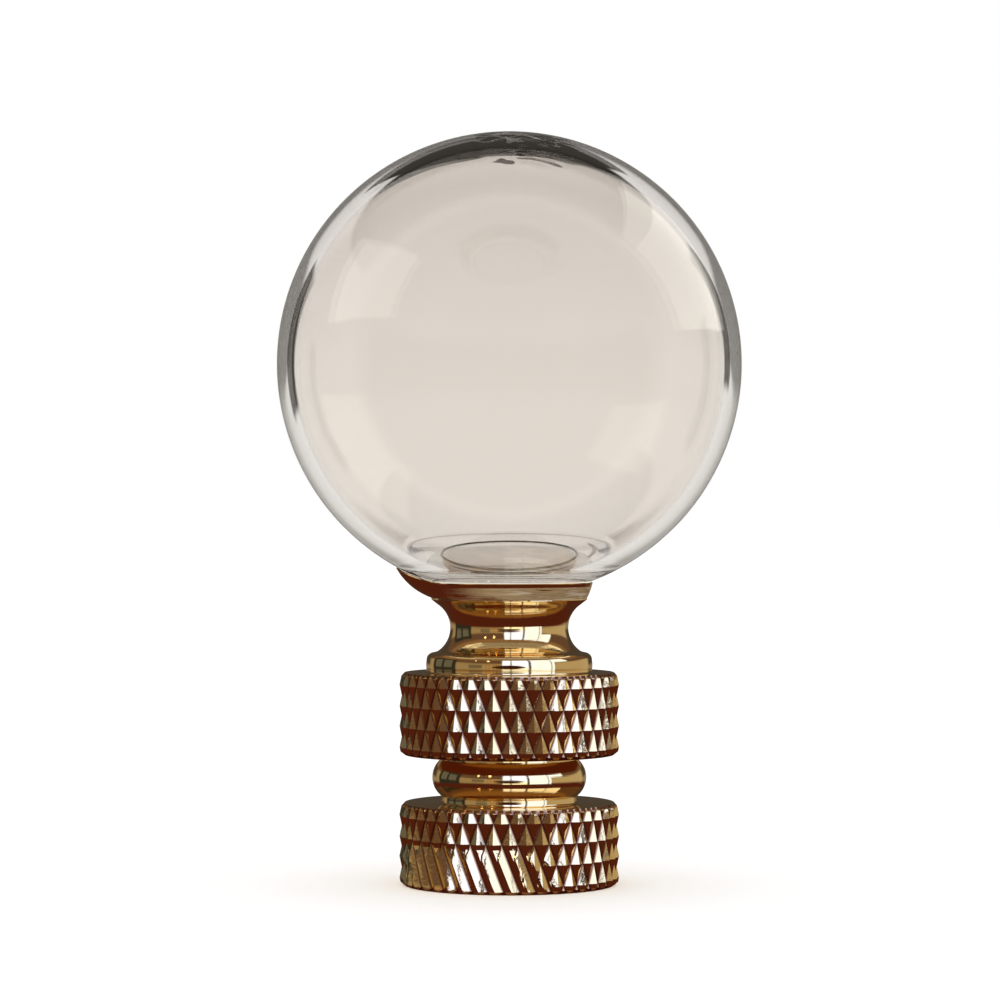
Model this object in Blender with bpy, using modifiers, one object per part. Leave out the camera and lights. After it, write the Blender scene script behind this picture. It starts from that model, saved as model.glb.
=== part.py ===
"""
Lamp shade finial: a glass ball in the cup of a turned brass base with two knurled rings.

The base is one turned piece. From the bottom up it has a knurled ring, a waist with a round bead,
a second knurled ring, a shoulder, a hollow neck and a shallow cup. A blind hole in its underside
takes the threaded stud of a lamp harp. Lengths are in metres, +Z is up, and the origin is the
centre of the underside.
"""

import math

import bmesh
import bpy

MM = 0.001

# Ball
BALL_DIAMETER = 30.0 * MM
BALL_SEGMENTS = 44
BALL_RINGS = 20

# Cup under the ball
SEAT_GAP = 0.3 * MM  # room for the cement between the ball and its seat
CUP_MOUTH_RADIUS = 5.25 * MM
CUP_LIP_WIDTH = 0.15 * MM
CUP_LIP_DROP = 0.1 * MM
CUP_FLOOR = 0.2 * MM  # brass between the end of the neck and the lowest point of the seat
CUP_FOOT_STEP = 0.36 * MM  # from the end of the neck out to the cup's foot
CUP_FOOT_HEIGHT = 0.28 * MM
CUP_ROUNDING = 0.02 * MM
SEAT_FACETS = 3
CUP_FACETS = 3

# Run of cement that climbs the ball on the left of the cup
RUN_MIDDLE = math.radians(168)  # its direction from the axis
RUN_HALF_WIDTH = math.radians(48)
RUN_CLIMB = math.radians(7.5)  # round the ball, above the cup's mouth
RUN_ROUNDING = 0.22 * MM

# Hollow neck
NECK_HEIGHT = 3.05 * MM
NECK_END_RADIUS = 4.65 * MM
NECK_HOLLOW = 0.83 * MM
NECK_FACETS = 7

# Shoulder under the neck
SHOULDER_LEDGE = 0.7 * MM  # from the end of the neck out to the shoulder's side
SHOULDER_HEIGHT = 1.35 * MM
SHOULDER_ROUND = 0.45 * MM
SHOULDER_FACETS = 3

# Knurled rings
RING_DIAMETER = 14.2 * MM
UPPER_RING_HEIGHT = 5.3 * MM
LOWER_RING_HEIGHT = 5.3 * MM
CHAMFER_HEIGHT = 0.2 * MM
CHAMFER_MARGIN = 0.05 * MM  # by which a chamfer reaches further in than the grooves
KNURL_COUNT = 42  # points around a ring
KNURL_DEPTH = 0.35 * MM
KNURL_ANGLE = math.radians(21.7)  # of the two helices, from the ring's axis
KNURL_FIRST_ROW = 0.6  # distance of the first row of points from the ring's top edge, in rows

# Waist between the rings
WAIST_HEIGHT = 3.1 * MM
WAIST_WALL = 1.2 * MM  # brass around the hole
BEAD_PROUD = 0.56 * MM
BEAD_DROP = 0.3 * MM  # from the upper ring down to the bead
BEAD_RISE = 0.45 * MM  # from the lower ring up to the bead
BEAD_FACETS = 5
FILLET = 0.15 * MM

# Blind hole for the harp's stud
STUD_DIAMETER = 6.35 * MM
STUD_CLEARANCE = 0.05 * MM
HOLE_DEPTH = 9.0 * MM
HOLE_TIP_ANGLE = math.radians(118)
COUNTERSINK = 0.4 * MM

SHARP_ANGLE = math.radians(30)
SLACK = 0.01 * MM  # for telling which points lie on a surface


# Heights, from the underside up
def heights():
    """The height of each part of the base, and of the ball's centre."""
    waist = LOWER_RING_HEIGHT
    upper_ring = waist + WAIST_HEIGHT
    shoulder = upper_ring + UPPER_RING_HEIGHT
    neck = shoulder + SHOULDER_HEIGHT
    cup = neck + NECK_HEIGHT
    ball = cup + CUP_FLOOR + seat_radius()
    return {
        "waist": waist,
        "upper_ring": upper_ring,
        "shoulder": shoulder,
        "neck": neck,
        "cup": cup,
        "ball": ball,
    }


def seat_radius():
    return BALL_DIAMETER / 2 + SEAT_GAP


def hole_radius():
    return STUD_DIAMETER / 2 + STUD_CLEARANCE


def waist_radius():
    return hole_radius() + WAIST_WALL


# Profile of the base, as points of radius and height
def arc(start, end, bulge, segments):
    """Points of the arc between two points, without the first. A positive bulge lies on the left
    of the way from start to end, which is outside on a profile that runs down its outer side."""
    run = end[0] - start[0]
    rise = end[1] - start[1]
    chord = math.hypot(run, rise)
    half_angle = 2 * math.atan2(2 * abs(bulge), chord)
    radius = chord / 2 / math.sin(half_angle)
    side = math.copysign(1, bulge)
    points = []
    for step in range(1, segments + 1):
        angle = half_angle * (2 * step / segments - 1)
        along = 0.5 + radius * math.sin(angle) / chord
        off = side * radius * (math.cos(angle) - math.cos(half_angle)) / chord
        points.append((start[0] + along * run - off * rise, start[1] + along * rise + off * run))
    return points


def cup_profile(cup_height, ball_height, climb=0):
    """The hollow of the cup from the axis out to its mouth, and its outside down to the neck. With
    a climb, an angle round the ball, the mouth stands higher by it and the outside bulges."""
    mouth_angle = math.asin(CUP_MOUTH_RADIUS / seat_radius()) + climb
    seat = []
    for step in range(SEAT_FACETS + 1):
        angle = mouth_angle * step / SEAT_FACETS
        seat.append((seat_radius() * math.sin(angle), ball_height - seat_radius() * math.cos(angle)))
    lip = (seat[-1][0] + CUP_LIP_WIDTH, seat[-1][1] - CUP_LIP_DROP)
    foot = (NECK_END_RADIUS + CUP_FOOT_STEP, cup_height + CUP_FOOT_HEIGHT)
    rounding = CUP_ROUNDING + RUN_ROUNDING * climb / RUN_CLIMB
    return [*seat, lip, *arc(lip, foot, rounding, CUP_FACETS)]


def neck_profile(neck_height, cup_height):
    """The hollow neck, one arc from under the cup down to the shoulder."""
    top = (NECK_END_RADIUS, cup_height)
    bottom = (NECK_END_RADIUS, neck_height)
    return [top, *arc(top, bottom, -NECK_HOLLOW, NECK_FACETS)]


def shoulder_profile(shoulder_height, neck_height):
    """The rounded shoulder and the fillet where it meets the upper ring."""
    radius = NECK_END_RADIUS + SHOULDER_LEDGE
    rounding = min(SHOULDER_ROUND, SHOULDER_LEDGE)
    ledge_end = (radius - rounding, neck_height - FILLET / 2)
    side = (radius, ledge_end[1] - rounding)
    bulge = rounding * (1 - math.sqrt(0.5))
    return [
        ledge_end,
        *arc(ledge_end, side, bulge, SHOULDER_FACETS),
        (radius, shoulder_height + FILLET),
        (radius + FILLET, shoulder_height),
    ]


def knurl_row_height():
    """Height of one row of the knurl: half a diamond."""
    diamond_width = math.pi * RING_DIAMETER / KNURL_COUNT
    return diamond_width / 2 / math.tan(KNURL_ANGLE)


def ring_profile(bottom, top):
    """A knurled ring's side with its chamfers, with a level for each row of points."""
    radius = RING_DIAMETER / 2
    face_radius = radius - KNURL_DEPTH - CHAMFER_MARGIN
    first = top - KNURL_FIRST_ROW * knurl_row_height()
    upper_edge = top - CHAMFER_HEIGHT
    lower_edge = bottom + CHAMFER_HEIGHT
    rows = math.ceil((first - lower_edge) / knurl_row_height())
    levels = [first - row * knurl_row_height() for row in range(rows)]
    side = [(radius, level) for level in levels if lower_edge < level < upper_edge]
    return [
        (face_radius, top),
        (radius, upper_edge),
        *side,
        (radius, lower_edge),
        (face_radius, bottom),
    ]


def waist_profile(waist_height, ring_height):
    """The waist with its bead, from under the upper ring to the top of the lower ring."""
    radius = waist_radius()
    bead_top = (radius, ring_height - BEAD_DROP)
    bead_bottom = (radius, waist_height + BEAD_RISE)
    return [
        (radius + FILLET, ring_height),
        bead_top,
        *arc(bead_top, bead_bottom, BEAD_PROUD, BEAD_FACETS),
        (radius, waist_height + FILLET),
        (radius + FILLET, waist_height),
    ]


def hole_profile():
    """The countersunk blind hole, from the underside up to its tip on the axis."""
    radius = hole_radius()
    tip = HOLE_DEPTH + radius / math.tan(HOLE_TIP_ANGLE / 2)
    return [(radius + COUNTERSINK, 0), (radius, COUNTERSINK), (radius, HOLE_DEPTH), (0, tip)]


def base_profile():
    level = heights()
    return [
        *cup_profile(level["cup"], level["ball"]),
        *neck_profile(level["neck"], level["cup"]),
        *shoulder_profile(level["shoulder"], level["neck"]),
        *ring_profile(level["upper_ring"], level["shoulder"]),
        *waist_profile(level["waist"], level["upper_ring"]),
        *ring_profile(0, level["waist"]),
        *hole_profile(),
    ]


# Scene and materials
def clear_scene():
    for thing in list(bpy.data.objects):
        bpy.data.objects.remove(thing, do_unlink=True)


def make_collection(name):
    collection = bpy.data.collections.new(name)
    bpy.context.scene.collection.children.link(collection)
    return collection


def make_material(name, colour, metallic, roughness, transmission=0.0):
    material = bpy.data.materials.new(name)
    material.use_nodes = True
    shader = material.node_tree.nodes["Principled BSDF"]
    shader.inputs["Base Color"].default_value = (*colour, 1)
    shader.inputs["Metallic"].default_value = metallic
    shader.inputs["Roughness"].default_value = roughness
    shader.inputs["Transmission Weight"].default_value = transmission
    material.diffuse_color = (*colour, 1)
    return material


def finish_mesh(mesh, material):
    mesh.materials.append(material)
    mesh.shade_smooth()
    mesh.set_sharp_from_angle(angle=SHARP_ANGLE)


# Turning, knurling and cementing
def turned_mesh(name, profile, steps):
    """The mesh of a profile turned round the Z axis."""
    outline = bpy.data.meshes.new(name + "_outline")
    edges = [(index, index + 1) for index in range(len(profile) - 1)]
    outline.from_pydata([(radius, 0, height) for radius, height in profile], edges, [])
    guide = bpy.data.objects.new(name + "_outline", outline)
    bpy.context.scene.collection.objects.link(guide)
    screw = guide.modifiers.new("turn", "SCREW")
    screw.steps = steps
    screw.render_steps = steps
    screw.use_merge_vertices = True
    screw.merge_threshold = SLACK
    evaluated = guide.evaluated_get(bpy.context.evaluated_depsgraph_get())
    mesh = bpy.data.meshes.new_from_object(evaluated)
    mesh.name = name
    bpy.data.objects.remove(guide, do_unlink=True)
    bpy.data.meshes.remove(outline)
    return mesh


def ridge(turns):
    """Height of one helix of the knurl, from 0 in a groove to 1 half way between two grooves."""
    return 1 - abs(2 * (turns % 1) - 1)


def knurl_height(angle, drop):
    """Height of the knurl at an angle round the ring and a drop below its first row of points."""
    around = KNURL_COUNT * angle / (2 * math.pi)
    down = drop / (2 * knurl_row_height()) + 0.5
    return min(ridge(around + down), ridge(around - down))


def press_knurl(mesh, bottom, top):
    """Presses the two crossing helices into the side of the ring between two heights."""
    radius = RING_DIAMETER / 2
    first = top - KNURL_FIRST_ROW * knurl_row_height()
    lower = bottom + CHAMFER_HEIGHT - SLACK
    upper = top - CHAMFER_HEIGHT + SLACK
    shape = bmesh.new()
    shape.from_mesh(mesh)
    side = {
        vertex
        for vertex in shape.verts
        if lower < vertex.co.z < upper and vertex.co.xy.length > radius - SLACK
    }
    for vertex in side:
        angle = math.atan2(vertex.co.y, vertex.co.x)
        depth = KNURL_DEPTH * (1 - knurl_height(angle, first - vertex.co.z))
        vertex.co.xy *= (radius - depth) / vertex.co.xy.length
    for face in list(shape.faces):
        corners = list(face.verts)
        if len(corners) == 4 and side.issuperset(corners):
            one, two, three, four = (corner.co.xy.length for corner in corners)
            groove = (0, 2) if one + three < two + four else (1, 3)
            bmesh.utils.face_split(face, corners[groove[0]], corners[groove[1]])
    shape.to_mesh(mesh)
    shape.free()


def run_climb(direction):
    """How far the cement climbs the ball in a direction from the axis, as an angle round the ball."""
    turn = math.pi
    away = (direction - RUN_MIDDLE + turn) % (2 * turn) - turn
    if abs(away) >= RUN_HALF_WIDTH:
        return 0
    return RUN_CLIMB * math.cos(turn / 2 * away / RUN_HALF_WIDTH) ** 2


def raise_run(mesh, cup_height, ball_height):
    """Lets the cup's lip climb the ball where the cement has run up it."""
    plain = cup_profile(cup_height, ball_height)
    for vertex in mesh.vertices:
        direction = math.atan2(vertex.co.y, vertex.co.x)
        place = (vertex.co.xy.length, vertex.co.z)
        for index, point in enumerate(plain):
            if vertex.co.xy.length > SLACK and math.dist(place, point) < SLACK:
                radius, height = cup_profile(cup_height, ball_height, run_climb(direction))[index]
                vertex.co.xy *= radius / vertex.co.xy.length
                vertex.co.z = height


# Pieces
def build_base(collection):
    level = heights()
    mesh = turned_mesh("brass_base", base_profile(), 2 * KNURL_COUNT)
    raise_run(mesh, level["cup"], level["ball"])
    press_knurl(mesh, level["upper_ring"], level["shoulder"])
    press_knurl(mesh, 0, level["waist"])
    finish_mesh(mesh, make_material("brass", (0.72, 0.48, 0.2), 1.0, 0.18))
    base = bpy.data.objects.new("brass_base", mesh)
    collection.objects.link(base)
    return base


def build_ball(collection, base):
    mesh = bpy.data.meshes.new("glass_ball")
    shape = bmesh.new()
    bmesh.ops.create_uvsphere(
        shape, u_segments=BALL_SEGMENTS, v_segments=BALL_RINGS, radius=BALL_DIAMETER / 2
    )
    shape.to_mesh(mesh)
    shape.free()
    finish_mesh(mesh, make_material("glass", (0.84, 0.8, 0.74), 0.0, 0.0, transmission=1.0))
    ball = bpy.data.objects.new("glass_ball", mesh)
    ball.location.z = heights()["ball"]
    ball.parent = base
    collection.objects.link(ball)
    return ball


def main():
    clear_scene()
    finial = make_collection("lamp_shade_finial")
    base = build_base(finial)
    build_ball(finial, base)


main()
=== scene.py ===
"""
Lamp shade finial: the hollow glass ball and the turned, knurled and polished brass base.

Both pieces are turned: a point is extruded along an outline and spun round the finial's axis. The
knurl, the thread and the unevenness of the blown glass are then pressed into the turned mesh.
Lengths are in metres and +Z is up.
"""

import math

import bpy
import mathutils
import numpy as np
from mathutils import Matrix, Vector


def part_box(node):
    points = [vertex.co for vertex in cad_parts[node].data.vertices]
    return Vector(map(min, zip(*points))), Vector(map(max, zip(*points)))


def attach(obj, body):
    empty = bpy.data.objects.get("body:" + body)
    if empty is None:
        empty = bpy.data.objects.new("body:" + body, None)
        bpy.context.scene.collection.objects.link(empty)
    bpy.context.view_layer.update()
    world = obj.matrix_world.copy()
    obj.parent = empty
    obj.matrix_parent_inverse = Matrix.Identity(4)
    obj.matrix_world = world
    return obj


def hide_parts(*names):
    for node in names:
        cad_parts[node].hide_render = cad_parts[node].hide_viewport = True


bl_info = {
    "name": "Lamp Shade Finial",
    "version": (1, 0, 0),
    "blender": (4, 5, 0),
    "location": "View3D > Sidebar > Finial",
    "description": "Builds a lamp shade finial with a glass ball on a knurled brass base",
    "category": "Object",
}

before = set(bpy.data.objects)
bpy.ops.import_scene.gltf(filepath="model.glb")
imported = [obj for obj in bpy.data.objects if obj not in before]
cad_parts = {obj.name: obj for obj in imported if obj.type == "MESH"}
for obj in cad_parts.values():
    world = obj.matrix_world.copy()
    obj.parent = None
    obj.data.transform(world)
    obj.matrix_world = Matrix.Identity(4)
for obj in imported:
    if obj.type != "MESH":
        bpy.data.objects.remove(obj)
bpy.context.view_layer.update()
BALL_LOW, BALL_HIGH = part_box("glass_ball")

MM = 0.001
BALL_RADIUS = (BALL_HIGH[2] - BALL_LOW[2]) / 2
BALL_CENTRE = (BALL_HIGH[2] + BALL_LOW[2]) / 2
SAME_PLACE = 0.001 * MM
ON_SIDE = 0.03 * MM  # how near to a side's radius a point of that side lies
TURN = 2 * math.pi


ROW_STEPS = 4  # mesh rows in one row of the knurl, and half the columns in one diamond
THREAD_STEPS = 8  # mesh rows in one turn of the thread
KNURL_SHARP = math.radians(12)  # bend from which an edge of the knurl is sharp
SHARP = math.radians(30)  # bend from which any other edge is sharp
FLOOR_SOFT = 0.2 * MM  # width of the soft edge of the hollow's floor
SOFTBOX_DISTANCE = 0.5
# Bits of ridges on the hollow's floor: middle and half width of their span in degrees, radius and
# drift outwards in millimetres, and height
SWIRLS = (
    (-92, 62, 4.95, 0.05, 0.8),
    (-128, 34, 5.5, -0.5, 0.7),
    (-150, 30, 6.0, -0.4, 0.9),
    (-60, 24, 5.6, 0.3, 0.8),
    (-84, 20, 6.1, 0.2, 0.6),
    (8, 26, 5.7, 0.6, 1.3),
)


# Sizes and colours that a user would change
def length(name, default, description):
    return bpy.props.FloatProperty(
        name=name,
        default=default * MM,
        min=0,
        unit="LENGTH",
        precision=5,
        description=description,
    )


def angle(name, default, description):
    return bpy.props.FloatProperty(
        name=name, default=math.radians(default), subtype="ANGLE", description=description
    )


def colour(name, default, description):
    return bpy.props.FloatVectorProperty(
        name=name, default=default, size=3, min=0, max=1, subtype="COLOR", description=description
    )


def share(name, default, description):
    return bpy.props.FloatProperty(
        name=name, default=default, min=0, max=1, subtype="FACTOR", description=description
    )


class FinialBall(bpy.types.PropertyGroup):
    """The blown glass ball."""

    wall: length("Wall", 1.05, "Thickness of the glass at the ball's sides")
    ring_radius: length("Ring", 4.4, "Radius of the thin ridge round the middle of the floor")
    ridge_height: length("Ridges", 0.1, "Height of the thin ridges on the floor of the hollow")
    ridge_width: length("Ridge width", 0.1, "Half the width of the thin ridges")
    floor_height: length("Floor height", 21.3, "Height of the floor of the hollow")
    floor_slope: angle("Floor slope", 7, "Angle by which the floor of the hollow leans forward")
    unevenness: length("Unevenness", 0.05, "Depth of the ripples inside the ends of the ball")
    tint: colour("Tint", (0.9, 0.865, 0.82), "Colour that the glass gives to light")
    columns: bpy.props.IntProperty(
        name="Columns", default=192, min=24, description="Faces around the ball"
    )


class FinialBase(bpy.types.PropertyGroup):
    """The turned brass base."""

    seat_gap: length("Seat gap", 0.03, "Room between the ball and the cup")
    mouth_radius: length("Cup mouth", 5.3, "Radius of the cup's mouth")
    lip_width: length("Lip width", 0.1, "Width of the cup's lip")
    foot_radius: length("Cup foot", 5.01, "Radius of the lower end of the cup")
    foot_height: length("Cup foot height", 18.38, "Height of the lower end of the cup")
    lip_middle: angle("Raised lip", 168, "Direction of the middle of the raised part of the lip")
    lip_half_width: angle("Raised lip width", 48, "Half the width of the raised part of the lip")
    lip_climb: angle("Lip climb", 8.6, "Angle by which the lip climbs the ball at its highest")
    lip_rounding: length("Lip rounding", 0.26, "Bulge of the cup under the raised lip")
    neck_end_radius: length("Neck end", 4.65, "Radius of the neck where it ends")
    neck_top: length("Neck top", 18.1, "Height of the neck's upper end")
    neck_bottom: length("Neck bottom", 15.05, "Height of the neck's lower end")
    neck_hollow: length("Neck hollow", 0.83, "Depth of the neck's hollow")
    shoulder_radius: length("Shoulder", 5.35, "Radius of the shoulder")
    shoulder_round: length("Shoulder rounding", 0.45, "Radius of the shoulder's upper edge")
    crown: length("Crown", 0.03, "Bulge of the shoulder's side")
    ring_radius: length("Rings", 7.1, "Radius of the knurled rings over their points")
    upper_ring_top: length("Upper ring top", 13.7, "Height of the top of the upper ring")
    upper_ring_bottom: length("Upper ring bottom", 8.4, "Height of the underside of the upper ring")
    lower_ring_top: length("Lower ring top", 5.3, "Height of the top of the lower ring")
    chamfer_height: length("Chamfer", 0.2, "Height of the chamfers of the rings")
    knurl_depth: length("Knurl depth", 0.28, "Depth of the grooves of the knurl")
    knurl_count: bpy.props.IntProperty(
        name="Knurl", default=42, min=12, description="Points of the knurl around a ring"
    )
    knurl_angle: angle("Knurl angle", 21.7, "Angle of the two helices from the axis")
    first_row: share("First row", 0.6, "Rows of the knurl above its first row of points")
    waist_radius: length("Waist", 4.42, "Radius of the waist beside its bead")
    bead_top: length("Bead top", 8.1, "Height of the bead's upper end")
    bead_bottom: length("Bead bottom", 5.75, "Height of the bead's lower end")
    bead_proud: length("Bead", 0.56, "How far the bead stands out of the waist")
    fillet: length("Fillet", 0.15, "Radius of the fillets")
    edge_round: length("Edge rounding", 0.04, "Radius of the small rounding of sharp edges")
    thread_radius: length("Thread", 3.2, "Radius of the thread's roots")
    thread_depth: length("Thread depth", 0.5, "Depth of the thread")
    thread_pitch: length("Thread pitch", 0.9407, "Pitch of the thread, 27 to the inch")
    hole_depth: length("Hole depth", 9.0, "Depth of the hole without its tip")
    countersink: length("Countersink", 0.42, "Width of the countersink")


class FinialFinish(bpy.types.PropertyGroup):
    """The finish of the brass."""

    brass: colour("Brass", (0.9, 0.66, 0.33), "Colour of the polished brass")
    groove: colour("Grooves", (0.3, 0.14, 0.08), "Colour of the brass deep in the grooves")
    roughness: share("Roughness", 0.05, "Roughness of the polished brass")
    groove_roughness: share("Groove roughness", 0.2, "Roughness deep in the grooves")


class FinialStage(bpy.types.PropertyGroup):
    """The camera, the light and the floor."""

    distance: length("Distance", 231.7, "Distance of the camera from the axis")
    eye_height: length("Eye height", 24.83, "Height of the camera")
    eye_side: length("Eye side", 0.6, "Distance of the camera to the left of the axis")
    lens: bpy.props.FloatProperty(
        name="Lens", default=129, description="Focal length in millimetres"
    )
    floor: colour("Floor", (0.9, 0.9, 0.9), "Colour of the floor")


# Outlines, as points of radius and height
def arc(start, end, bulge, steps):
    """Points of the arc between two points, without the first. A positive bulge lies on the left
    of the way from start to end, which is outside on an outline that runs down its outer side."""
    run = end[0] - start[0]
    rise = end[1] - start[1]
    chord = math.hypot(run, rise)
    half_angle = 2 * math.atan2(2 * abs(bulge), chord)
    radius = chord / 2 / math.sin(half_angle)
    side = math.copysign(1, bulge)
    points = []
    for step in range(1, steps + 1):
        turned = half_angle * (2 * step / steps - 1)
        along = 0.5 + radius * math.sin(turned) / chord
        off = side * radius * (math.cos(turned) - math.cos(half_angle)) / chord
        points.append((start[0] + along * run - off * rise, start[1] + along * rise + off * run))
    return points


def around_ball(radius, start, end, steps):
    """Points on a sphere about the ball's centre, between two angles from straight down."""
    points = []
    for step in range(steps + 1):
        place = start + (end - start) * step / steps
        points.append((radius * math.sin(place), BALL_CENTRE - radius * math.cos(place)))
    return points


def soften(outline, radius, steps=3):
    """The outline with each sharp corner replaced by a small arc of about the given radius."""
    softened = [outline[0]]
    for before, corner, after in zip(outline, outline[1:], outline[2:]):
        coming = mathutils.Vector(before) - mathutils.Vector(corner)
        going = mathutils.Vector(after) - mathutils.Vector(corner)
        bend = math.pi - coming.angle(going)
        if bend < math.radians(25) or corner[0] < SAME_PLACE:
            softened.append(corner)
            continue
        reach = min(radius * math.tan(bend / 2), coming.length / 3, going.length / 3)
        start = mathutils.Vector(corner) + coming.normalized() * reach
        end = mathutils.Vector(corner) + going.normalized() * reach
        for step in range(steps + 1):
            along = step / steps
            point = (1 - along) ** 2 * start + along**2 * end
            point += 2 * along * (1 - along) * mathutils.Vector(corner)
            softened.append(tuple(point))
    softened.append(outline[-1])
    return softened


def turn(name, outlines, columns):
    """Extrudes a point along each outline and spins them all round the axis into one mesh."""
    bpy.ops.object.select_all(action="DESELECT")
    bpy.ops.mesh.primitive_plane_add(size=MM, location=(0, 0, 0))
    piece = bpy.context.object
    piece.name = name
    piece.data.name = name
    bpy.ops.object.mode_set(mode="EDIT")
    bpy.ops.mesh.select_mode(type="VERT")
    for number, outline in enumerate(outlines):
        if number:
            bpy.ops.mesh.select_all(action="DESELECT")
            bpy.ops.mesh.primitive_plane_add(size=MM, location=(0, 0, 0))
        bpy.ops.mesh.merge(type="CENTER")
        bpy.ops.transform.translate(value=(outline[0][0], 0, outline[0][1]))
        for here, there in zip(outline, outline[1:]):
            step = (there[0] - here[0], 0, there[1] - here[1])
            bpy.ops.mesh.extrude_vertices_move(TRANSFORM_OT_translate={"value": step})
    bpy.ops.mesh.select_all(action="SELECT")
    bpy.ops.mesh.spin(steps=columns, angle=TURN, center=(0, 0, 0), axis=(0, 0, 1))
    bpy.ops.mesh.select_all(action="SELECT")
    bpy.ops.mesh.remove_doubles(threshold=SAME_PLACE)
    bpy.ops.mesh.normals_make_consistent(inside=False)
    bpy.ops.object.mode_set(mode="OBJECT")
    return piece


def places(piece):
    """The piece's points as an array."""
    points = np.empty(len(piece.data.vertices) * 3, np.float32)
    piece.data.vertices.foreach_get("co", points)
    return points.reshape(-1, 3).astype(float)


def put_places(piece, points):
    piece.data.vertices.foreach_set("co", points.astype(np.float32).ravel())
    piece.data.update()


def select_faces(piece, chosen):
    """Selects the faces that answer to a test, and no others."""
    bpy.ops.object.select_all(action="DESELECT")
    piece.select_set(True)
    bpy.context.view_layer.objects.active = piece
    bpy.ops.object.mode_set(mode="EDIT")
    bpy.ops.mesh.select_mode(type="FACE")
    bpy.ops.mesh.select_all(action="DESELECT")
    bpy.ops.object.mode_set(mode="OBJECT")
    for face in piece.data.polygons:
        face.select = bool(chosen(face))
    bpy.ops.object.mode_set(mode="EDIT")


def shade(piece, sharp_angle):
    bpy.ops.object.mode_set(mode="OBJECT")
    bpy.ops.object.select_all(action="DESELECT")
    piece.select_set(True)
    bpy.context.view_layer.objects.active = piece
    bpy.ops.object.shade_smooth_by_angle(angle=sharp_angle)


# Base
def lip_lift(base, direction):
    """Angle by which the lip climbs the ball in directions from the axis."""
    away = (direction - base.lip_middle + math.pi) % TURN - math.pi
    wave = np.cos(math.pi / 2 * away / base.lip_half_width) ** 2
    return np.where(abs(away) < base.lip_half_width, base.lip_climb * wave, 0)


def cup_outline(base, climb=0.0):
    """The seat, the lip and the outside of the cup, down to its foot."""
    seat_radius = BALL_RADIUS + base.seat_gap
    mouth_angle = math.asin(base.mouth_radius / seat_radius) + climb
    seat = around_ball(seat_radius, 0, mouth_angle, 16)
    top = (seat[-1][0] + base.lip_width * 0.7, seat[-1][1] - base.lip_width * 0.15)
    lip = (seat[-1][0] + base.lip_width, seat[-1][1] - base.lip_width * 0.6)
    foot = (base.foot_radius, base.foot_height)
    step = (base.foot_radius + 0.03 * MM, base.foot_height + 0.13 * MM)
    rounding = 0.03 * MM + base.lip_rounding * climb / base.lip_climb
    return [*seat, top, lip, *arc(lip, step, rounding, 9), (step[0], foot[1] + 0.03 * MM), foot]


def ring_outline(base, bottom, top):
    """A ring's side, with levels for the knurl, and its chamfers."""
    row = knurl_row(base)
    radius = base.ring_radius
    face_radius = radius - base.knurl_depth - 0.05 * MM
    upper = top - base.chamfer_height
    lower = bottom + base.chamfer_height
    first = top - base.first_row * row
    levels = [first + row * step / ROW_STEPS for step in range(-60, 20)][::-1]
    near = row / ROW_STEPS / 3
    side = [(radius, level) for level in levels if lower + near < level < upper - near]
    return [(face_radius, top), (radius, upper), *side, (radius, lower), (face_radius, bottom)]


def hole_outline(base):
    """The countersink and the hole, with levels for the thread, up to the tip on the axis."""
    radius = base.thread_radius
    levels = []
    height = base.countersink
    while height < base.hole_depth:
        levels.append((radius, height))
        height += base.thread_pitch / THREAD_STEPS
    tip = base.hole_depth + radius * 0.6
    return [(radius + base.countersink, 0), *levels, (radius, base.hole_depth), (0, tip)]


def base_outline(base):
    neck_top = (base.neck_end_radius, base.neck_top)
    neck_bottom = (base.neck_end_radius, base.neck_bottom)
    ledge = (base.shoulder_radius - base.shoulder_round, base.neck_bottom - base.fillet / 2)
    side = (base.shoulder_radius, ledge[1] - base.shoulder_round)
    waist_top = (base.waist_radius, base.bead_top)
    waist_bottom = (base.waist_radius, base.bead_bottom)
    waist_end = (base.waist_radius, base.lower_ring_top + base.fillet)
    round_bulge = 1 - math.sqrt(0.5)
    outer = [
        neck_top,
        *arc(neck_top, neck_bottom, -base.neck_hollow, 20),
        ledge,
        *arc(ledge, side, base.shoulder_round * round_bulge, 6),
        *arc(side, (base.shoulder_radius, base.upper_ring_top + base.fillet), base.crown, 6),
        *arc(
            (base.shoulder_radius, base.upper_ring_top + base.fillet),
            (base.shoulder_radius + base.fillet, base.upper_ring_top),
            -base.fillet * round_bulge,
            3,
        ),
        *ring_outline(base, base.upper_ring_bottom, base.upper_ring_top),
        (base.waist_radius + base.fillet, base.upper_ring_bottom),
        *arc(
            (base.waist_radius + base.fillet, base.upper_ring_bottom),
            (base.waist_radius, base.upper_ring_bottom - base.fillet),
            -base.fillet * round_bulge,
            3,
        ),
        waist_top,
        *arc(waist_top, waist_bottom, base.bead_proud, 18),
        waist_end,
        *arc(
            waist_end,
            (base.waist_radius + base.fillet, base.lower_ring_top),
            -base.fillet * round_bulge,
            3,
        ),
        *ring_outline(base, 0, base.lower_ring_top),
    ]
    return [*cup_outline(base), *soften(outer, base.edge_round), *hole_outline(base)]


def knurl_row(base):
    """Height of one row of the knurl: half a diamond."""
    return math.pi * base.ring_radius / base.knurl_count / math.tan(base.knurl_angle)


def ridge(turns):
    """Height of a helix of the knurl, from 0 in a groove to 1 half way between two grooves."""
    return 1 - abs(2 * (turns % 1) - 1)


def worn_helix(direction, height, base):
    """How far one of the two helices is missing, from 0 to 1: the tool slipped on the front left
    of the lower ring, in its lower half."""
    around = (direction + 0.665 * math.pi + math.pi) % TURN - math.pi
    across = np.exp(-((around / 0.8) ** 4))
    middle = base.lower_ring_top * 0.56
    down = np.clip((middle - height) / (0.9 * MM), 0, 1)
    return across * down * down * (3 - 2 * down)


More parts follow.
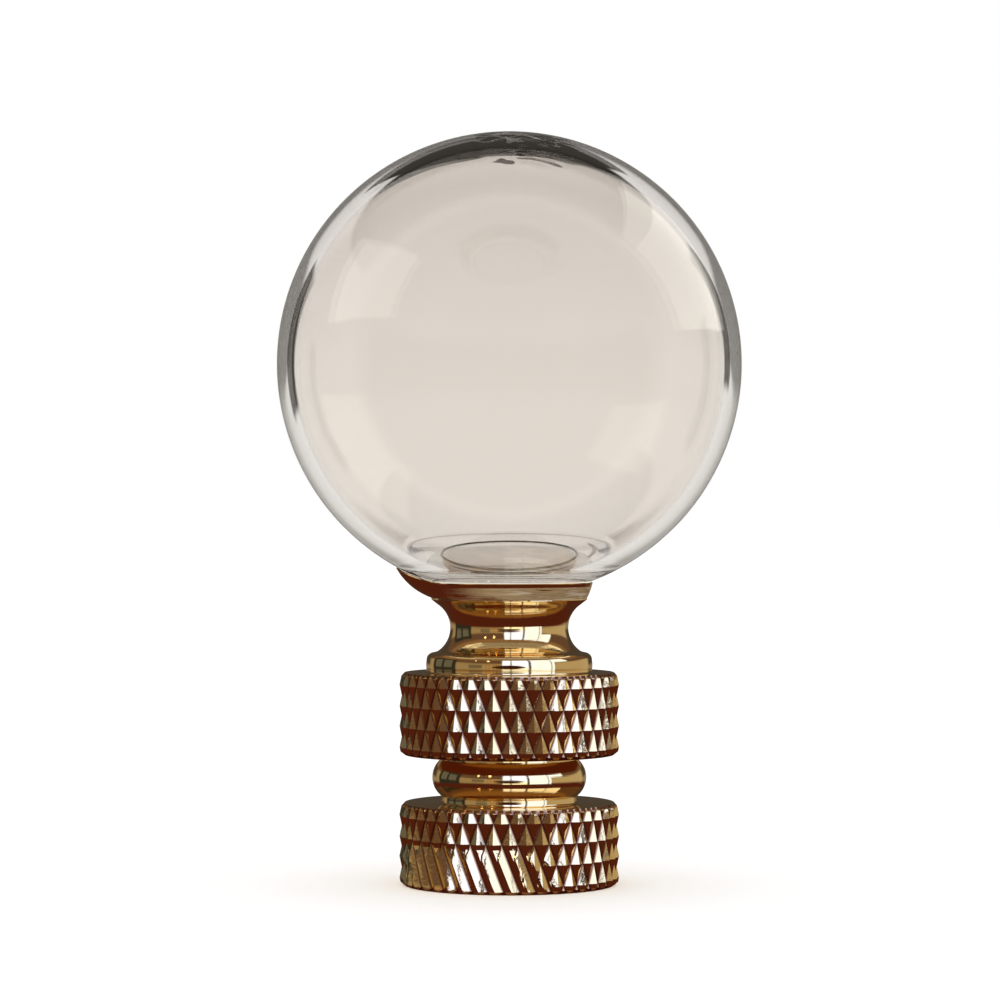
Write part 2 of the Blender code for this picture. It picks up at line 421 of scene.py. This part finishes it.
def knurl_depths(base, points):
    """Depth of the two crossing helices at points of the rings' sides, and 0 elsewhere."""
    radius = np.hypot(points[:, 0], points[:, 1])
    direction = np.arctan2(points[:, 1], points[:, 0])
    around = base.knurl_count * direction / TURN
    depths = np.zeros(len(points))
    for bottom, top in ((base.upper_ring_bottom, base.upper_ring_top), (0, base.lower_ring_top)):
        side = radius > base.ring_radius - ON_SIDE
        side &= points[:, 2] > bottom + base.chamfer_height - ON_SIDE
        side &= points[:, 2] < top - base.chamfer_height + ON_SIDE
        first = top - base.first_row * knurl_row(base)
        down = (first - points[:, 2]) / (2 * knurl_row(base)) + 0.5
        rising = ridge(around + down)
        falling = ridge(around - down)
        if not bottom:
            rising += (1 - rising) * worn_helix(direction, points[:, 2], base)
        height = np.minimum(rising, falling)
        height = 0.9 * height + 0.1 * height * height * (3 - 2 * height)
        depths = np.where(side, base.knurl_depth * (1 - height), depths)
    return depths


def press_knurl(base, piece):
    """Presses the knurl into the rings, splits its faces along their truer diagonals and marks
    its sharp edges."""
    points = places(piece)
    depths = knurl_depths(base, points)
    radius = np.hypot(points[:, 0], points[:, 1])
    rings = radius > base.ring_radius - ON_SIDE
    rings &= points[:, 2] < base.upper_ring_top
    quads = [face.index for face in piece.data.polygons if len(face.vertices) == 4]
    corners = np.array([piece.data.polygons[index].vertices[:] for index in quads])
    knurled = rings[corners].all(axis=1)
    true = knurl_depths(base, points[corners].mean(axis=1))
    one = abs(depths[corners[:, 0]] + depths[corners[:, 2]] - 2 * true)
    other = abs(depths[corners[:, 1]] + depths[corners[:, 3]] - 2 * true)
    points[:, :2] *= ((radius - depths) / np.maximum(radius, SAME_PLACE))[:, None]
    put_places(piece, points)
    for method, better in (("FIXED_ALTERNATE", one > other), ("FIXED", one <= other)):
        chosen = {tuple(corners[number]) for number in np.flatnonzero(knurled & better)}
        select_faces(piece, lambda face: tuple(face.vertices) in chosen)
        bpy.ops.mesh.quads_convert_to_tris(quad_method=method)
        bpy.ops.object.mode_set(mode="OBJECT")
    low = base.ring_radius - base.knurl_depth - 0.02 * MM

    def on_ring(face):
        middle = face.center
        return math.hypot(middle[0], middle[1]) > low and middle[2] < base.upper_ring_top

    select_faces(piece, on_ring)
    bpy.ops.mesh.hide(unselected=True)
    bpy.ops.mesh.select_mode(type="EDGE")
    bpy.ops.mesh.select_all(action="DESELECT")
    bpy.ops.mesh.edges_select_sharp(sharpness=KNURL_SHARP)
    bpy.ops.mesh.mark_sharp()
    bpy.ops.mesh.reveal(select=False)
    bpy.ops.object.mode_set(mode="OBJECT")


def cut_thread(base, points):
    """Cuts the thread of the hole."""
    radius = np.hypot(points[:, 0], points[:, 1])
    direction = np.arctan2(points[:, 1], points[:, 0])
    height = points[:, 2]
    wall = abs(radius - base.thread_radius) < ON_SIDE
    wall &= height < base.hole_depth + SAME_PLACE
    turns = height / base.thread_pitch - direction / TURN
    start = np.clip((height - base.countersink) / base.thread_pitch, 0, 1)
    depth = base.thread_depth * ridge(turns) * start
    points[:, :2] *= np.where(wall, (radius - depth) / np.maximum(radius, SAME_PLACE), 1)[:, None]


def raise_lip(base, points):
    """Lets the lip of the cup climb the ball on one side."""
    radius = np.hypot(points[:, 0], points[:, 1])
    direction = np.arctan2(points[:, 1], points[:, 0])
    lifts = lip_lift(base, direction)
    for number, (flat_radius, flat_height) in enumerate(cup_outline(base)):
        near = np.hypot(radius - flat_radius, points[:, 2] - flat_height) < SAME_PLACE * 5
        for index in np.flatnonzero(near & (radius > SAME_PLACE) & (lifts > 0)):
            new_radius, new_height = cup_outline(base, lifts[index])[number]
            points[index, :2] *= new_radius / radius[index]
            points[index, 2] = new_height


class FINIAL_OT_base(bpy.types.Operator):
    """Turn, knurl and thread the brass base"""

    bl_idname = "finial.base"
    bl_label = "Brass Base"

    def execute(self, context):
        base = context.scene.finial_base
        columns = base.knurl_count * 2 * ROW_STEPS
        piece = turn("brass_turned_base", [base_outline(base)], columns)
        points = places(piece)
        raise_lip(base, points)
        cut_thread(base, points)
        put_places(piece, points)
        press_knurl(base, piece)
        shade(piece, SHARP)
        piece.data.materials.append(brass_material(context.scene))
        piece.data.materials.append(cement_material())
        centre = mathutils.Vector((0, 0, BALL_CENTRE))
        seat = BALL_RADIUS + base.seat_gap + 0.01 * MM
        for face in piece.data.polygons:
            if (face.center - centre).length < seat and face.normal.z > 0.5:
                face.material_index = 1
        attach(piece, "root")
        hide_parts("brass_base")
        return {"FINISHED"}


# Ball
def floor_edge(ball, lean=0):
    """Angle from straight down at which the floor meets the round wall, where the floor rises
    outwards by a share of the radius."""
    radius = BALL_RADIUS - ball.wall
    below = (BALL_CENTRE - ball.floor_height) / radius
    return np.arctan(lean) + np.arccos(below / np.sqrt(1 + lean**2))


def hollow_outline(ball):
    """The inside of the ball: the flat floor, its soft edge and the round wall."""
    radius = BALL_RADIUS - ball.wall
    edge_angle = float(floor_edge(ball))
    edge = radius * math.sin(edge_angle) - FLOOR_SOFT
    coarse = ball.ring_radius - 3 * ball.ridge_width
    floor = [(coarse * step / 12, ball.floor_height) for step in range(12)]
    fine = round((edge - coarse) / (0.05 * MM))
    floor += [
        (coarse + (edge - coarse) * step / fine, ball.floor_height) for step in range(fine + 1)
    ]
    wall = around_ball(radius, edge_angle + FLOOR_SOFT / radius, math.pi, ball.columns // 2)
    wall[-1] = (0, wall[-1][1])
    return [*floor, *arc(floor[-1], wall[0], -0.06 * MM, 6), *wall[1:]]


def lean_floor(ball, points, inside):
    """Leans the floor of the hollow forward. The wall above it stays round. Returns which points
    are on the floor."""
    radius = BALL_RADIUS - ball.wall
    across = np.hypot(points[:, 0], points[:, 1])
    direction = np.arctan2(points[:, 1], points[:, 0])
    lean = np.sin(direction) * math.tan(ball.floor_slope)
    flat_edge = float(floor_edge(ball))
    edge = floor_edge(ball, lean)
    flat_start = flat_edge + FLOOR_SOFT / radius
    start = edge + FLOOR_SOFT / radius
    flat_end = radius * math.sin(flat_edge) - FLOOR_SOFT
    end = radius * np.sin(edge) - FLOOR_SOFT
    steady = ball.ring_radius + 0.35 * MM
    on_floor = inside & (abs(points[:, 2] - ball.floor_height) < SAME_PLACE)
    top = BALL_CENTRE - radius * math.cos(flat_start)
    on_arc = inside & ~on_floor & (points[:, 2] < top + SAME_PLACE)
    on_wall = inside & ~on_floor & ~on_arc
    stretched = steady + (across - steady) * (end - steady) / (flat_end - steady)
    new_across = np.where(on_floor & (across > steady), stretched, across)
    new_height = np.where(on_floor, ball.floor_height + new_across * lean, points[:, 2])
    run = (across - flat_end) / (radius * math.sin(flat_start) - flat_end)
    climb = (points[:, 2] - ball.floor_height) / (top - ball.floor_height)
    new_top = BALL_CENTRE - radius * np.cos(start)
    low = ball.floor_height + end * lean
    new_across = np.where(on_arc, end + run * (radius * np.sin(start) - end), new_across)
    new_height = np.where(on_arc, low + climb * (new_top - low), new_height)
    angle = np.arctan2(across, BALL_CENTRE - points[:, 2])
    share = (angle - flat_start) / (math.pi - flat_start)
    angle = start + share * (math.pi - start)
    new_across = np.where(on_wall, radius * np.sin(angle), new_across)
    new_height = np.where(on_wall, BALL_CENTRE - radius * np.cos(angle), new_height)
    scale = np.where(across > SAME_PLACE, new_across / np.maximum(across, SAME_PLACE), 1)
    points[:, :2] *= scale[:, None]
    points[:, 2] = new_height
    return on_floor


def ridge_heights(ball, points):
    """Height of the thin ridges that the glass left on the floor, as a share of the full height:
    a ring round the middle, and bits of wider rings that drift outwards."""
    across = np.hypot(points[:, 0], points[:, 1])
    direction = np.arctan2(points[:, 1], points[:, 0])
    heights = np.clip(1 - abs(across - ball.ring_radius) / ball.ridge_width, 0, 1)
    for middle, half_width, start, drift, height in SWIRLS:
        away = (direction - math.radians(middle) + math.pi) % TURN - math.pi
        along = away / math.radians(half_width)
        path = start * MM + drift * MM * along
        crest = height * np.clip(1 - along**2, 0, 1)
        wide = ball.ridge_width * (0.6 + 0.7 * height)
        heights = np.maximum(heights, crest * np.clip(1 - abs(across - path) / wide, 0, 1))
    return heights


def ripple(ball, points):
    """Leans the floor of the hollow, puts the ridges on it and makes the inside uneven, as in
    blown glass. Returns which points are on the floor."""
    offset = points - np.array([0, 0, BALL_CENTRE])
    radius = np.linalg.norm(offset, axis=1)
    inside = radius < BALL_RADIUS - ball.wall / 2
    height = offset[:, 2] / BALL_RADIUS
    from_top = np.hypot(offset[:, 0] - 1.0 * MM, offset[:, 1]) / (2.6 * MM)
    near_top = np.where(height > 0, np.clip(1.35 - from_top, 0, 1), 0)
    on_floor = lean_floor(ball, points, inside)
    lift = np.where(on_floor, ball.ridge_height * ridge_heights(ball, points), 0)
    offset = points - np.array([0, 0, BALL_CENTRE])
    radius = np.linalg.norm(offset, axis=1)
    for index in np.flatnonzero(inside):
        place = mathutils.Vector(offset[index])
        wave = 0.12 * mathutils.noise.noise(place / (6 * MM))
        wave += near_top[index] * 3.8 * mathutils.noise.noise(place / (1.1 * MM))
        scale = 1 + ball.unevenness * wave / radius[index]
        points[index] = offset[index] * scale + np.array([0, 0, BALL_CENTRE])
    points[:, 2] += lift
    return on_floor


class FINIAL_OT_ball(bpy.types.Operator):
    """Blow the hollow glass ball"""

    bl_idname = "finial.ball"
    bl_label = "Glass Ball"

    def execute(self, context):
        ball = context.scene.finial_ball
        outside = around_ball(BALL_RADIUS, 0, math.pi, ball.columns // 2)
        outside[-1] = (0, outside[-1][1])
        piece = turn("glass_hollow_ball", [outside, hollow_outline(ball)], ball.columns)
        limit = BALL_RADIUS - ball.wall / 2
        centre = mathutils.Vector((0, 0, BALL_CENTRE))
        select_faces(piece, lambda face: (face.center - centre).length < limit)
        bpy.ops.mesh.flip_normals()
        bpy.ops.object.mode_set(mode="OBJECT")
        points = places(piece)
        on_floor = ripple(ball, points)
        put_places(piece, points)
        shade(piece, SHARP)
        piece.data.materials.append(glass_material(context.scene))
        piece.data.materials.append(ridge_shade_glass_material())
        piece.data.materials.append(cement_material())
        heights = ridge_heights(ball, points) * on_floor
        mouth = context.scene.finial_base.mouth_radius - 0.05 * MM
        seat = BALL_CENTRE - math.sqrt(BALL_RADIUS**2 - mouth**2)
        for face in piece.data.polygons:
            if face.center.z < seat and (face.center - centre).length > limit:
                face.material_index = 2
            # Faces on the ridges take the glass darkened by painted shade.
            elif max(heights[list(face.vertices)]) > 0.3:
                face.material_index = 1
        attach(piece, "root")
        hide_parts("glass_ball")
        return {"FINISHED"}


# Materials
class Socket:
    """A shader value that can be used in sums."""

    def __init__(self, shader, link):
        self.shader = shader
        self.link = link

    def math(self, operation, *others, clamp=False):
        node = self.shader.tree.nodes.new("ShaderNodeMath")
        node.operation = operation
        node.use_clamp = clamp
        for number, value in enumerate((self, *others)):
            self.shader.feed(node.inputs[number], value)
        return Socket(self.shader, node.outputs[0])

    def __add__(self, other):
        return self.math("ADD", other)

    __radd__ = __add__

    def __sub__(self, other):
        return self.math("SUBTRACT", other)

    def __rsub__(self, other):
        return (self * -1) + other

    def __mul__(self, other):
        return self.math("MULTIPLY", other)

    __rmul__ = __mul__

    def __truediv__(self, other):
        return self.math("DIVIDE", other)

    def __pow__(self, other):
        return self.math("POWER", other)

    def clamped(self):
        return self.math("ADD", 0, clamp=True)

    def above(self, low, high):
        """0 below low, 1 above high and a smooth rise between."""
        step = self.shader.node(
            "ShaderNodeMapRange",
            {"interpolation_type": "SMOOTHSTEP"},
            {"Value": self, "From Min": low, "From Max": high},
        )
        return step["Result"]


class Shader:
    """The nodes of a material or a world."""

    def __init__(self, tree):
        self.tree = tree

    def feed(self, socket, value):
        if isinstance(value, Socket):
            self.tree.links.new(value.link, socket)
        else:
            socket.default_value = value

    def node(self, kind, settings=None, values=None):
        """Makes a node and returns its outputs by name."""
        node = self.tree.nodes.new(kind)
        for name, value in (settings or {}).items():
            setattr(node, name, value)
        for name, value in (values or {}).items():
            self.feed(node.inputs[name], value)
        return {output.name: Socket(self, output) for output in node.outputs}

    def mix(self, amount, one, two):
        """One colour turning into another."""
        node = self.tree.nodes.new("ShaderNodeMix")
        node.data_type = "RGBA"
        self.feed(node.inputs[0], amount)
        for number, value in ((6, one), (7, two)):
            flat = not isinstance(value, Socket)
            self.feed(node.inputs[number], (*value, 1) if flat else value)
        return Socket(self, node.outputs[2])

    def parts(self, vector):
        out = self.node("ShaderNodeSeparateXYZ", None, {"Vector": vector})
        return out["X"], out["Y"], out["Z"]


def band(value, low, high, soft):
    """1 between low and high and 0 outside them, with soft edges."""
    return value.above(low - soft, low + soft) * (1 - value.above(high - soft, high + soft))


def new_material(name):
    material = bpy.data.materials.new(name)
    material.use_nodes = True
    shader = Shader(material.node_tree)
    surface = material.node_tree.nodes["Principled BSDF"]
    return material, shader, surface


def brass_material(scene):
    """Polished brass with lathe lines, darker and duller deep in the knurl, and with cement
    smeared on the cup, whose pale streaks are painted reflection."""
    base = scene.finial_base
    finish = scene.finial_finish
    material, shader, surface = new_material("polished_brass")
    place = shader.node("ShaderNodeTexCoord")["Object"]
    across, back, height = shader.parts(place)
    radius = (across * across + back * back) ** 0.5
    low = base.ring_radius - base.knurl_depth
    on_ring = radius.above(low - 0.06 * MM, low - 0.02 * MM)
    on_ring = on_ring * (1 - height.above(base.upper_ring_top, base.upper_ring_top + 0.1 * MM))
    deep = (1 - radius.above(low + 0.01 * MM, low + 0.07 * MM)) * on_ring
    clouds = shader.node(
        "ShaderNodeTexNoise", None, {"Vector": place, "Scale": 420.0, "Detail": 3.0}
    )["Fac"]
    tarnish = clouds.above(0.45, 0.75) * 0.25
    clean = shader.mix(tarnish, tuple(finish.brass), (0.8, 0.5, 0.2))
    worked = shader.mix(deep, clean, tuple(finish.groove))
    streaks = shader.node(
        "ShaderNodeMapping", None, {"Vector": place, "Scale": (350.0, 350.0, 5000.0)}
    )["Vector"]
    streaks = shader.node(
        "ShaderNodeTexNoise", None, {"Vector": streaks, "Scale": 1.0, "Detail": 3.0}
    )["Fac"]
    # Cement smeared on the cup, not metal; its pale streaks are painted reflection.
    cement_and_painted_reflection = band(height, base.foot_height + 0.1 * MM, base.foot_height + 0.85 * MM, 0.06 * MM)
    cement_and_painted_reflection = cement_and_painted_reflection * radius.above(4.95 * MM, 5.0 * MM) * across.above(-4.5 * MM, 2.0 * MM)
    cement_and_painted_reflection = cement_and_painted_reflection * streaks.above(0.3, 0.5) * 0.85
    # Pale streaks in the cement: painted reflection; the dark brown is the cement's own colour.
    pale = shader.mix(streaks.above(0.5, 0.65), (0.12, 0.07, 0.04), (0.36, 0.3, 0.23))
    worked = shader.mix(cement_and_painted_reflection, worked, pale)
    shader.feed(surface.inputs["Base Color"], worked)
    shader.feed(surface.inputs["Metallic"], 1 - cement_and_painted_reflection)
    rough = finish.roughness + clouds * 0.03 + cement_and_painted_reflection * 0.2
    rough = rough + deep * (finish.groove_roughness - finish.roughness)
    shader.feed(surface.inputs["Roughness"], rough)
    lines = shader.node(
        "ShaderNodeCombineXYZ",
        None,
        {"X": radius * 14000.0, "Y": 0.0, "Z": height * 14000.0},
    )["Vector"]
    turned = shader.node(
        "ShaderNodeTexNoise", None, {"Vector": lines, "Scale": 1.0, "Detail": 2.0}
    )["Fac"]
    scuffs = shader.node(
        "ShaderNodeTexNoise", None, {"Vector": place, "Scale": 5000.0, "Detail": 3.0}
    )["Fac"]
    relief = turned * (1 - on_ring) + scuffs * on_ring * 1.5
    bump = shader.node(
        "ShaderNodeBump", None, {"Strength": 0.2, "Distance": 0.00002, "Height": relief}
    )
    shader.feed(surface.inputs["Normal"], bump["Normal"])
    return material


def cement_material():
    """Pale cement between the seat and the ball, with a faint glow for the light that the ball
    gathers on it."""
    material, shader, surface = new_material("pale_cement")
    place = shader.node("ShaderNodeTexCoord")["Object"]
    clouds = shader.node(
        "ShaderNodeTexNoise", None, {"Vector": place, "Scale": 600.0, "Detail": 4.0}
    )["Fac"]
    pale = shader.mix(clouds.above(0.35, 0.7), (0.9, 0.885, 0.86), (0.76, 0.74, 0.71))
    shader.feed(surface.inputs["Base Color"], pale)
    surface.inputs["Roughness"].default_value = 0.45
    surface.inputs["Emission Color"].default_value = (0.9, 0.88, 0.85, 1)
    surface.inputs["Emission Strength"].default_value = 0.25
    bump = shader.node(
        "ShaderNodeBump", None, {"Strength": 0.3, "Distance": 0.00005, "Height": clouds}
    )
    shader.feed(surface.inputs["Normal"], bump["Normal"])
    return material


def glass_material(scene):
    """Clear glass with a faint grey-brown tint. Painted shade darkens it where it is seen edge on,
    most at the top, and in a thin ring near the top.
    """
    ball = scene.finial_ball
    material, shader, surface = new_material("tinted_glass_painted_shade")
    facing = shader.node("ShaderNodeLayerWeight", None, {"Blend": 0.5})["Facing"]
    across, back, height = shader.parts(shader.node("ShaderNodeTexCoord")["Object"])
    rise = height - BALL_CENTRE
    away = (across * across + back * back + rise * rise) ** 0.5
    outside = away.above(BALL_RADIUS - 0.6 * ball.wall, BALL_RADIUS - 0.4 * ball.wall)
    # Painted shade: a dark border where the glass is seen edge on, wider about the middle and
    # weaker low down.
    rim_shade_strength = 0.35 + 0.65 * rise.above(-3.5 * MM, -1 * MM)
    middle = rise.above(-3 * MM, 0.5 * MM) * (1 - rise.above(4 * MM, 8 * MM))
    painted_rim_shade = (facing + 0.11 * middle).above(0.75, 0.81) * rim_shade_strength
    edge = tuple(part * 0.12 for part in ball.tint)
    tint_and_painted_shade = shader.mix(painted_rim_shade * outside, tuple(ball.tint), edge)
    # Painted shade: a thin dark ring on the outside of the glass near the top.
    painted_top_shade = (facing + (rise - 13.15 * MM) * 74.0).above(0.515, 0.525)
    painted_top_shade = painted_top_shade * (1 - facing.above(0.63, 0.66)) * rise.above(9.5 * MM, 11 * MM) * outside
    tint_and_painted_shade = shader.mix(painted_top_shade * 0.95, tint_and_painted_shade, (0.035, 0.028, 0.022))
    shader.feed(surface.inputs["Base Color"], tint_and_painted_shade)
    surface.inputs["Roughness"].default_value = 0
    surface.inputs["IOR"].default_value = 1.5
    surface.inputs["Transmission Weight"].default_value = 1
    return material


def ridge_shade_glass_material():
    """Glass in the thin ridges on the floor of the hollow, darkened by painted shade."""
    material, shader, surface = new_material("glass_painted_ridge_shade")
    # Painted shade: a near-black colour where the ridges look dark.
    surface.inputs["Base Color"].default_value = (0.08, 0.07, 0.055, 1)
    surface.inputs["Roughness"].default_value = 0
    surface.inputs["IOR"].default_value = 1.5
    surface.inputs["Transmission Weight"].default_value = 1
    return material


# Stage
def build_camera(stage):
    data = bpy.data.cameras.new("camera")
    data.lens = stage.lens
    data.sensor_width = 36
    data.clip_start = MM
    data.clip_end = 10
    camera = bpy.data.objects.new("camera", data)
    camera.location = (-stage.eye_side, -stage.distance, stage.eye_height)
    camera.rotation_euler = (math.pi / 2, 0, 0)
    bpy.context.scene.collection.objects.link(camera)
    bpy.context.scene.camera = camera


def build_floor(stage):
    bpy.ops.object.select_all(action="DESELECT")
    bpy.ops.mesh.primitive_circle_add(vertices=96, radius=3, fill_type="NGON", location=(0, 0, 0))
    floor = bpy.context.object
    floor.name = "floor"
    material, shader, surface = new_material("pale_floor")
    surface.inputs["Base Color"].default_value = (*stage.floor, 1)
    surface.inputs["Roughness"].default_value = 0.9
    surface.inputs["Specular IOR Level"].default_value = 0.1
    floor.data.materials.append(material)
    floor.visible_glossy = False
    floor.visible_transmission = False


def add_softbox(name, direction, turned, size, strength, only):
    """A soft rectangular light in a direction from the ball, facing it and turned round its own
    axis."""
    data = bpy.data.lights.new(name, "AREA")
    data.shape = "RECTANGLE"
    data.size, data.size_y = size
    data.energy = strength * math.pi * data.size * data.size_y
    data.color = (0.97, 1, 0.92)
    light = bpy.data.objects.new(name, data)
    way = mathutils.Vector(direction).normalized()
    light.location = way * SOFTBOX_DISTANCE + mathutils.Vector((0, 0, BALL_CENTRE))
    facing = way.to_track_quat("Z", "Y")
    facing = facing @ mathutils.Quaternion((0, 0, 1), math.radians(turned))
    light.rotation_euler = facing.to_euler()
    bpy.context.scene.collection.objects.link(light)
    light.visible_camera = False
    group = bpy.data.collections.new(name + "_lit")
    group.objects.link(only)
    light.light_linking.receiver_collection = group


def seen_room(shader, right, back, rise):
    """The pale room that shows through the glass, with a dark ceiling and dark corners."""
    left = right * -1
    ahead = back.above(0.0, 0.15)
    wall = shader.mix(rise.above(-0.02, 0.19), (0.99, 0.99, 0.99), (0.83, 0.82, 0.825))
    wall = shader.mix(rise.above(0.19, 0.28), wall, (0.95, 0.94, 0.94))
    sill = (1 - (right * right).above(0.01, 0.08)) * (1 - rise.above(-0.2, -0.13))
    wall = shader.mix(sill * rise.above(-0.45, -0.3), wall, (0.5, 0.47, 0.44))
    lean = right.math("MAXIMUM", 0.0) * 0.5 + left.math("MAXIMUM", 0.0) * 0.25
    windows = left.above(0.29, 0.31) + right.above(0.25, 0.27)
    ceiling = (rise - lean).above(0.307, 0.317) * (1 - windows * (1 - rise.above(0.52, 0.56)))
    corners = band(left, 0.5, 0.66, 0.01) * band(rise, -0.1, 0.3, 0.02)
    corners = corners + band(right, 0.54, 0.66, 0.01) * band(rise, -0.03, 0.4, 0.02)
    dim = (ceiling + corners).clamped() * ahead
    seen = shader.mix(dim, wall, (0.025, 0.02, 0.016))
    behind = shader.mix(rise.above(-0.35, -0.15), (0.85, 0.84, 0.83), (0.42, 0.4, 0.37))
    return shader.mix(back.above(-0.15, 0.0), behind, seen)


def mirrored_room(shader, right, back, rise):
    """The warm room that the brass mirrors: a dark table, beige walls, a window with thin bars on
    the right, a dark doorway on the left, two lamps and a dark figure in the middle."""
    left = right * -1
    turned = right.math("ARCTAN2", back * -1) * (180 / math.pi)
    raised = rise.math("ARCSINE") * (180 / math.pi)
    table = shader.mix(rise.above(-0.95, -0.7), (0.2, 0.11, 0.06), (0.085, 0.02, 0.012))
    sides = shader.mix(left.above(0.2, 0.8), (0.5, 0.44, 0.31), (0.34, 0.28, 0.18))
    level = shader.mix(rise.above(-0.22, -0.1), table, sides)
    upper = shader.mix(rise.above(0.16, 0.24), level, (0.13, 0.08, 0.06))
    room = shader.mix(rise.above(0.52, 0.6), upper, (0.26, 0.16, 0.08))
    room = shader.mix(rise.above(0.75, 0.85), room, (0.24, 0.16, 0.09))
    picture = band(turned, -58, -38, 1.0) * band(raised, -3, 8, 1.0)
    room = shader.mix(picture, room, (0.16, 0.14, 0.11))
    shelves = band(turned, -33, -14, 1.0) * band(raised, -9, 12, 1.0)
    shelves = shelves * band(turned.math("PINGPONG", 5.0), 1.2, 3.4, 0.5)
    room = shader.mix(shelves, room, (0.4, 0.2, 0.05))
    doorway = band(turned, -130, -80, 1.5) * band(raised, -12, 26, 1.5)
    room = shader.mix(doorway, room, (0.03, 0.032, 0.03))
    panes = band(turned, -123, -108, 1.0) + band(turned, -103, -87, 1.0)
    panes = panes * band(raised, -2, 18, 1.0) * doorway
    room = shader.mix(panes * 0.6, room, (0.2, 0.22, 0.22))
    behind = shader.mix(rise.above(-0.16, -0.11), (0.07, 0.025, 0.015), (0.3, 0.24, 0.17))
    behind = shader.mix(rise.above(-0.05, 0.0), behind, (0.07, 0.055, 0.04))
    room = shader.mix(back.above(0.72, 0.85), room, behind)

    frame_area = band(turned, -11, 67, 0.5) * band(raised, -13, 39, 0.7)
    frame_area = (frame_area + band(turned, 60, 90, 0.5) * band(raised, 13, 39, 0.7)).clamped()
    room = shader.mix(frame_area, room, (0.05, 0.045, 0.05))
    glazed = band(turned, -10, 1.4, 0.3) + band(turned, 3.4, 26.6, 0.3)
    glazed = glazed + band(turned, 30.4, 60.2, 0.3) + band(turned, 61.8, 66, 0.3)
    glazed = glazed * band(raised, -12, 38, 0.7)
    glazed = glazed + band(turned, 66.3, 89, 0.3) * band(raised, 14, 38, 0.7)
    bright = shader.mix(rise.above(-0.15, 0.1), (1.5, 1.6, 1.5), (1.35, 1.75, 3.2))
    bright = shader.mix(turned.above(26.0, 40.0), bright, (1.25, 1.6, 2.5))
    room = shader.mix(glazed.clamped(), room, bright)
    figure = ((turned + 1.0) / 24.0) ** 2 + ((raised - 1.0) / 7.0) ** 2
    room = shader.mix(figure.above(0.8, 1.1), (0.045, 0.012, 0.006), room)
    for middle in (-50.0, -31.0):
        lamp = ((turned - middle) / 1.6) ** 2 + ((raised - 26.0) / 2.6) ** 2
        room = shader.mix(lamp.above(0.6, 1.0), (8.0, 6.5, 4.0), room)
    return room


def glow(shader, shown):
    return shader.node("ShaderNodeBackground", None, {"Color": shown})["Background"]


def choose(shader, amount, one, two):
    """One light or the other. The one that isn't seen isn't worked out, which saves much time."""
    node = shader.tree.nodes.new("ShaderNodeMixShader")
    for socket, value in zip(node.inputs, (amount, one, two)):
        shader.feed(socket, value)
    return Socket(shader, node.outputs[0])


def build_world():
    """A white room for the camera and for rough surfaces, the pale room seen through the glass,
    and the warm room mirrored in the brass."""
    world = bpy.data.worlds.new("room")
    bpy.context.scene.world = world
    world.use_nodes = True
    world.node_tree.nodes.clear()
    shader = Shader(world.node_tree)
    direction = shader.node("ShaderNodeTexCoord")["Generated"]
    right, back, rise = shader.parts(direction)
    paths = shader.node("ShaderNodeLightPath")
    mirrored = mirrored_room(shader, right, back, rise)
    on_glass = shader.mix(rise.above(0.1, 0.5), (0.25, 0.23, 0.2), (0.12, 0.11, 0.1))
    plain = glow(shader, (1.3, 1.3, 1.3, 1))
    room = choose(shader, paths["Is Singular Ray"], glow(shader, mirrored), glow(shader, on_glass))
    room = choose(shader, paths["Is Glossy Ray"], plain, room)
    seen = glow(shader, seen_room(shader, right, back, rise))
    room = choose(shader, paths["Is Transmission Ray"], room, seen)
    room = choose(shader, paths["Diffuse Depth"].clamped(), room, plain)
    room = choose(shader, paths["Is Camera Ray"], room, glow(shader, (1, 1, 1, 1)))
    shader.node("ShaderNodeOutputWorld", None, {"Surface": room})


def direction_of(turned, rise):
    """The direction at an angle to the right of the camera's side, and at an elevation."""
    flat = math.cos(math.radians(rise))
    turned = math.radians(turned)
    return (flat * math.sin(turned), -flat * math.cos(turned), math.sin(math.radians(rise)))


class FINIAL_OT_stage(bpy.types.Operator):
    """Set up the camera, the light and the floor"""

    bl_idname = "finial.stage"
    bl_label = "Stage"

    def execute(self, context):
        stage = context.scene.finial_stage
        build_camera(stage)
        build_floor(stage)
        build_world()
        ball = bpy.data.objects["glass_hollow_ball"]
        add_softbox("softbox_left", direction_of(-85, 31), 10, (0.36, 0.26), 0.75, ball)
        add_softbox("softbox_right", direction_of(116, 30), -6, (0.38, 0.36), 0.7, ball)
        context.scene.view_settings.view_transform = "Standard"
        return {"FINISHED"}


class FINIAL_PT_panel(bpy.types.Panel):
    """Buttons and sizes of the finial"""

    bl_label = "Lamp Shade Finial"
    bl_idname = "FINIAL_PT_panel"
    bl_space_type = "VIEW_3D"
    bl_region_type = "UI"
    bl_category = "Finial"

    def draw(self, context):
        for operator in OPERATORS:
            self.layout.operator(operator.bl_idname)
        for name in SETTINGS:
            box = self.layout.box()
            settings = getattr(context.scene, name)
            for key in settings.__annotations__:
                box.prop(settings, key)


SETTINGS = {
    "finial_ball": FinialBall,
    "finial_base": FinialBase,
    "finial_finish": FinialFinish,
    "finial_stage": FinialStage,
}
OPERATORS = (FINIAL_OT_base, FINIAL_OT_ball, FINIAL_OT_stage)
CLASSES = (*SETTINGS.values(), *OPERATORS, FINIAL_PT_panel)


def register():
    for item in CLASSES:
        bpy.utils.register_class(item)
    for name, group in SETTINGS.items():
        setattr(bpy.types.Scene, name, bpy.props.PointerProperty(type=group))


def unregister():
    for name in SETTINGS:
        delattr(bpy.types.Scene, name)
    for item in reversed(CLASSES):
        bpy.utils.unregister_class(item)


def main():
    register()
    bpy.ops.finial.base()
    bpy.ops.finial.ball()
    bpy.ops.finial.stage()


if __name__ == "__main__":
    main()
